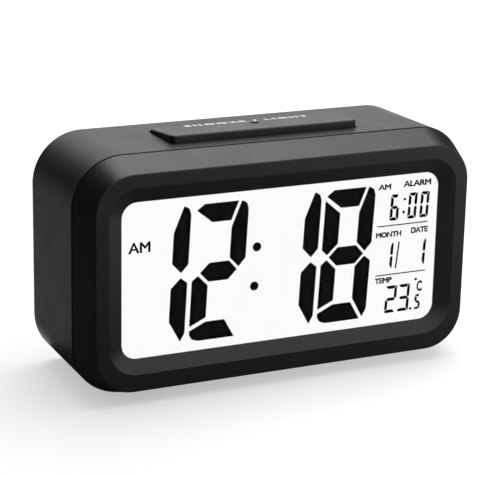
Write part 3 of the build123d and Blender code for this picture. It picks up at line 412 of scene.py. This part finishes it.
STEEL_END, RING_START, RING_WIDTH, NUB_LENGTH = 0.9 * MM, 2.4 * MM, 5.0 * MM, 0.9 * MM


def cell_jacket(name, low_x, high_x, plus_at_low):
    """A cell's finish along X: bare can at both ends, dark jacket between, pale ring near the plus end."""
    material, shader, place = new_finish(name, IOR=1.5)
    mottle(material, shader, place, "20262C", "262C33", 6, (0.24, 0.34), 4)
    jacket_colour = shader.inputs["Base Color"].links[0].from_socket
    along = add_node(material, "ShaderNodeSeparateXYZ", links={0: place}).outputs["X"]
    ring_inset = RING_START + RING_WIDTH / 2
    ring_middle = low_x + ring_inset if plus_at_low else high_x - ring_inset
    ring = add_node(material, "ShaderNodeMath",
                    {"operation": "COMPARE", 1: ring_middle, 2: RING_WIDTH / 2}, {0: along})
    jacket = add_node(material, "ShaderNodeMath", {"operation": "COMPARE", 1: (low_x + high_x) / 2,
                                                   2: (high_x - low_x) / 2 - STEEL_END}, {0: along})
    ringed = add_node(material, "ShaderNodeMix", {"data_type": "RGBA", 7: linear("B9BDC2")},
                      {"Factor": ring.outputs[0], 6: jacket_colour})
    whole = add_node(material, "ShaderNodeMix", {"data_type": "RGBA", 6: linear("C2C2BE")},
                     {"Factor": jacket.outputs[0], 7: ringed.outputs[2]})
    bare = add_node(material, "ShaderNodeMath", {"operation": "SUBTRACT", 0: 1.0}, {1: jacket.outputs[0]})
    material.node_tree.links.new(whole.outputs[2], shader.inputs["Base Color"])
    material.node_tree.links.new(bare.outputs[0], shader.inputs["Metallic"])
    return material


for place_name, plus_at_low in (("top", True), ("middle", False), ("bottom", True)):
    low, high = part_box("cell_" + place_name)
    # The nub stands outside the can.
    low_x, high_x = (low.x + NUB_LENGTH, high.x) if plus_at_low else (low.x, high.x - NUB_LENGTH)
    dress(cell_jacket("cell_jacket_" + place_name, low_x, high_x, plus_at_low), "cell_" + place_name)

# Battery contacts. Nickel-plated spring steel, 0.4 mm thick: a pressed dimple for each plus end and
# a cone of wire for each minus end, on a plate that slides into its slot. Two of them have a solder tag.

contact_metal = plated_metal("nickel_plated_spring_steel", "BBBBB6", "CBCBC7", (0.2, 0.36))
PLATE, PLATE_WIDTH, TAG_LENGTH, TAG_WIDTH = 0.4 * MM, 8.6 * MM, 3.5 * MM, 3.0 * MM
DIMPLE, DIMPLE_RADIUS = 1.0 * MM, 1.6 * MM
SPRING_LENGTH, SPRING_RADIUS, SPRING_TIP, SPRING_WIRE = 4.5 * MM, 4.0 * MM, 2.8 * MM, 0.8 * MM
SPRING_TURNS, SHEET_BEVEL = 3, PLATE / 5


def sheet_block(name, low, high):
    """A stamped sheet piece between two corners, its edges broken by a small bevel."""
    bpy.ops.object.select_all(action="DESELECT")
    bpy.ops.mesh.primitive_cube_add(size=1, location=(low + high) / 2, scale=high - low)
    bpy.ops.object.transform_apply()
    piece = bpy.context.object
    piece.name = name
    piece.data.name = name
    rounding = piece.modifiers.new("broken_edge", "BEVEL")
    rounding.width = SHEET_BEVEL
    rounding.segments = 2
    bpy.ops.object.modifier_apply(modifier="broken_edge")
    return piece


def battery_contact(name, side, dimple_cell, spring_cell, tag_cell):
    """One contact on its end wall, side -1 or 1, with its plate, and what it has of dimple, cone and tag."""
    low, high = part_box(name)
    wall_x = low.x if side < 0 else high.x
    face_x = wall_x - side * PLATE
    heights = [(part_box(cell)[0].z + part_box(cell)[1].z) / 2 for cell in (dimple_cell, spring_cell) if cell]
    cell_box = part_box(dimple_cell or spring_cell)
    axis_y = (cell_box[0].y + cell_box[1].y) / 2
    pieces = [sheet_block(name.replace("contact", "terminal"),
                          Vector((min(wall_x, face_x), high.y - PLATE_WIDTH, min(heights) - PLATE_WIDTH / 2)),
                          Vector((max(wall_x, face_x), high.y, max(heights) + PLATE_WIDTH / 2)))]
    if tag_cell:
        z = (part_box(tag_cell)[0].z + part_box(tag_cell)[1].z) / 2
        start = high.y - PLATE_WIDTH
        pieces.append(sheet_block(name + "_tag",
                                  Vector((min(wall_x, face_x), start - TAG_LENGTH, z - TAG_WIDTH / 2)),
                                  Vector((max(wall_x, face_x), start + PLATE, z + TAG_WIDTH / 2))))
    if dimple_cell:
        bpy.ops.object.select_all(action="DESELECT")
        bpy.ops.mesh.primitive_uv_sphere_add(segments=24, ring_count=16, radius=1,
                                             location=(face_x, axis_y, heights[0]),
                                             scale=(DIMPLE, DIMPLE_RADIUS, DIMPLE_RADIUS))
        bpy.ops.object.transform_apply()
        cap = bpy.context.object
        bpy.ops.object.mode_set(mode="EDIT")
        bpy.ops.mesh.select_all(action="SELECT")
        bpy.ops.mesh.bisect(plane_co=(face_x + side * PLATE / 2, 0, 0), plane_no=(side, 0, 0),
                            clear_outer=True, use_fill=True)
        bpy.ops.object.mode_set(mode="OBJECT")
        bpy.ops.object.shade_smooth()
        pieces.append(cap)
    if spring_cell:
        z = (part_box(spring_cell)[0].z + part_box(spring_cell)[1].z) / 2
        pieces.append(wire_coil(name + "_cone", (face_x, axis_y, z), -side * pi / 2, SPRING_LENGTH,
                                SPRING_RADIUS, SPRING_WIRE, SPRING_TURNS, SPRING_TIP / SPRING_RADIUS))
    bpy.ops.object.select_all(action="DESELECT")
    for piece in pieces:
        piece.select_set(True)
    bpy.context.view_layer.objects.active = pieces[0]
    if len(pieces) > 1:
        bpy.ops.object.join()
    contact = pieces[0]
    contact.data.materials.clear()
    contact.data.materials.append(contact_metal)
    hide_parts(name)
    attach(contact, "root")


battery_contact("contact_plus", -1, "cell_top", None, "cell_top")
battery_contact("contact_minus", 1, None, "cell_bottom", "cell_bottom")
battery_contact("contact_link_left", -1, "cell_bottom", "cell_middle", None)
battery_contact("contact_link_right", 1, "cell_middle", "cell_top", None)

# Feet. Four pads of black nitrile rubber, glued into shallow seats below. The rubber is matt and a
# little grainy, so it looks greyer than the case.

nitrile, shader, place = new_finish("moulded_nitrile_rubber", IOR=1.52)
mottle(nitrile, shader, place, "141415", "1D1D1E", 4, (0.7, 0.85), 3)
grain(nitrile, shader, place, 0.5, 0.01)
dress(nitrile, "rubber_feet")

# Words on the bar and behind. Pad printed in white ink, 0.04 mm thick, in plain capitals: what each
# key does and nothing else.

ink, shader, place = new_finish("white_pad_print_ink", IOR=1.5)
mottle(ink, shader, place, "EAEAE8", "F4F4F2", 0.8, (0.4, 0.55), 1)
INK, BAR_WEIGHT, BAR_SPACING, BACK_WEIGHT, BACK_SPACING = 0.04 * MM, 0.115, 1.45, 0.01, 1.15


def printed(name, words, left, right, low, high, turn, body, weight, spacing):
    """White words on a plane, in millimetres, that ride on a body."""
    word = lettering(name, words, left * MM, right * MM, low * MM, high * MM, INK, turn, weight, spacing)
    word.data.materials.append(ink)
    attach(word, body)


# The bar's top falls from its front edge, taken as if it weren't rounded, to its back edge.
bar_front, bar_back = Vector((0, -6.4, 78.989)) * MM, Vector((0, 12.4, 77.137)) * MM
fall = (bar_back - bar_front).normalized()
on_bar = Matrix.Translation(bar_front) @ Vector((0, 1, 0)).rotation_difference(fall).to_matrix().to_4x4()
printed("bar_words", "SNOOZE / LIGHT", -21.0, 22.5, 15.1, 18.2, on_bar, "snooze", BAR_WEIGHT, BAR_SPACING)

# Those behind stand on the floor of the keys' pocket.
POCKET_DEPTH, BACK_LOW, BACK_HIGH = 1.2 * MM, 52.8, 54.3
pocket_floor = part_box("rear_case")[1].y - POCKET_DEPTH
behind = (Matrix.Translation((0, pocket_floor, 0)) @ Matrix.Rotation(pi, 4, "Z")
          @ Matrix.Rotation(pi / 2, 4, "X"))
for words, x, width in (("MODE", -37.5, 5.6), ("SET", -22.5, 4.0), ("UP", -7.5, 2.6), ("DOWN", 7.5, 5.9),
                        ("ALARM", 22.5, 6.6), ("OFF", 35.1, 3.3), ("ON", 39.9, 2.4)):
    printed("back_" + words.lower(), words, -x - width / 2, -x + width / 2, BACK_LOW, BACK_HIGH, behind,
            "root", BACK_WEIGHT, BACK_SPACING)

# Studio. A pale floor in even light, with a glow painted on it that grows to the right, one large soft lamp
# behind and to the right, and matt flags that only reflections show, since gloss on black plastic copies what
# stands around it. The lamp, the glow and the cards were set by trial to match grey levels, and don't show
# how the real one was lit.

FLOOR_SIZE = 8
bpy.ops.object.select_all(action="DESELECT")
bpy.ops.mesh.primitive_plane_add(size=FLOOR_SIZE)
floor = bpy.context.object
floor.name = "floor"
# Painted light: the paper's glow is painted stronger to the right across the clock's width, so that the
# clock's shadow on it fades that way.
GLOW_LEFT, GLOW_RIGHT, GLOW_REACH, DOME = 0.43, 0.56, 0.075, 0.5
paper, shader, place = new_finish("white_paper_sweep", Roughness=0.9, Specular_IOR_Level=0.1,
                                  Base_Color=linear("D2D2D2"), Emission_Color=(1, 1, 1, 1))


def seen_directly(owner):
    """1 for rays from the camera and from mirrors and glass, which see the white set itself."""
    rays = add_node(owner, "ShaderNodeLightPath")
    either = add_node(owner, "ShaderNodeMath", {"operation": "MAXIMUM"},
                      {0: rays.outputs["Is Camera Ray"], 1: rays.outputs["Is Glossy Ray"]})
    return add_node(owner, "ShaderNodeMath", {"operation": "MAXIMUM"},
                    {0: either.outputs[0], 1: rays.outputs["Is Transmission Ray"]}).outputs[0]


over_floor = add_node(paper, "ShaderNodeSeparateXYZ", links={0: place})
painted_glow_ramp = add_node(paper, "ShaderNodeMapRange", {"From Min": -GLOW_REACH, "From Max": GLOW_REACH,
                                              "To Min": GLOW_LEFT, "To Max": GLOW_RIGHT},
                {"Value": over_floor.outputs["X"]})
glow = add_node(paper, "ShaderNodeMath", {"operation": "MULTIPLY"},
                {0: seen_directly(paper), 1: painted_glow_ramp.outputs["Result"]})
paper.node_tree.links.new(glow.outputs[0], shader.inputs["Emission Strength"])
floor.data.materials.append(paper)

scene = bpy.context.scene
scene.view_settings.view_transform = "Standard"
world = bpy.data.worlds.new("studio")
scene.world = world
world.use_nodes = True
dome = add_node(world, "ShaderNodeMapRange", {"To Min": DOME, "To Max": 1.0}, {"Value": seen_directly(world)})
background = world.node_tree.nodes["Background"]
background.inputs["Color"].default_value = (1, 1, 1, 1)
world.node_tree.links.new(dome.outputs["Result"], background.inputs["Strength"])


def flag(name, low, high, material):
    """A flat card between two corners, black or grey on both sides, that only reflections show."""
    bpy.ops.object.select_all(action="DESELECT")
    low, high = Vector(low), Vector(high)
    bpy.ops.mesh.primitive_cube_add(size=1, location=(low + high) / 2, scale=high - low)
    bpy.ops.object.transform_apply()
    card = bpy.context.object
    card.name = name
    card.data.materials.append(material)
    card.visible_camera = card.visible_diffuse = card.visible_transmission = card.visible_shadow = False


# This card grows twice as bright with every DOUBLING to the right, from 2 to the power MIDDLE at X 0.
DOUBLING, MIDDLE = 0.0825, -3.1
graded, shader, place = new_finish("graded_card", Roughness=1.0, Specular_IOR_Level=0.0)
across = add_node(graded, "ShaderNodeSeparateXYZ", links={0: place})
steps = add_node(graded, "ShaderNodeMath", {"operation": "MULTIPLY_ADD", 1: 1 / DOUBLING, 2: MIDDLE},
                 {0: across.outputs["X"]})
shade = add_node(graded, "ShaderNodeMath", {"operation": "POWER", 0: 2.0}, {1: steps.outputs[0]})
graded.node_tree.links.new(shade.outputs[0], shader.inputs["Base Color"])
flag("flag_floor", (-0.6, -0.9, 0.0001), (0.25, 0.03, 0.0003), graded)
black_card, shader, place = new_finish("black_card", Roughness=1.0, Specular_IOR_Level=0.0,
                                       Base_Color=linear("161616"))
flag("flag_left", (-0.131, -0.35, 0.0), (-0.13, 0.6, 0.4), black_card)
flag("flag_right", (0.30, 0.0, 0.0), (0.301, 0.27, 0.38), black_card)
grey_card, shader, place = new_finish("grey_card", Roughness=1.0, Specular_IOR_Level=0.0,
                                      Base_Color=linear("949494"))
flag("flag_low", (-0.128, 0.03, 0.0), (-0.067, 0.4, 0.0004), grey_card)
flag("flag_behind", (-0.129, 0.06, 0.0), (-0.128, 0.4, 0.06), grey_card)

LAMP_PLACE, LAMP_AIM, LAMP_SIDE, LAMP_WATTS = (0.2, 0.22, 0.98), Vector((0, 0, 0.04)), 1.0, 6.8
bpy.ops.object.light_add(type="AREA", location=LAMP_PLACE)
lamp = bpy.context.object
lamp.data.shape = "RECTANGLE"
lamp.data.size = lamp.data.size_y = LAMP_SIDE
lamp.data.energy = LAMP_WATTS
lamp.rotation_euler = (LAMP_AIM - lamp.location).to_track_quat("-Z", "Y").to_euler()

# Camera. It stands in front, to the left and a little above, with a long lens. Its place, its turns
# and its lens come from a fit to the case's edges in the photograph.

CAMERA_PLACE, LENS = (-0.24343, -0.50635, 0.21059), 131.24
HEADING, HEIGHT, ROLL = radians(-25.495), radians(16.812), radians(1.231)
camera_data = bpy.data.cameras.new("camera")
camera_data.sensor_fit = "HORIZONTAL"
camera_data.lens = LENS
camera = bpy.data.objects.new("camera", camera_data)
scene.collection.objects.link(camera)
camera.matrix_world = (Matrix.Translation(CAMERA_PLACE) @ Matrix.Rotation(HEADING, 4, "Z")
                       @ Matrix.Rotation(pi / 2 - HEIGHT, 4, "X") @ Matrix.Rotation(ROLL, 4, "Z"))
scene.camera = camera
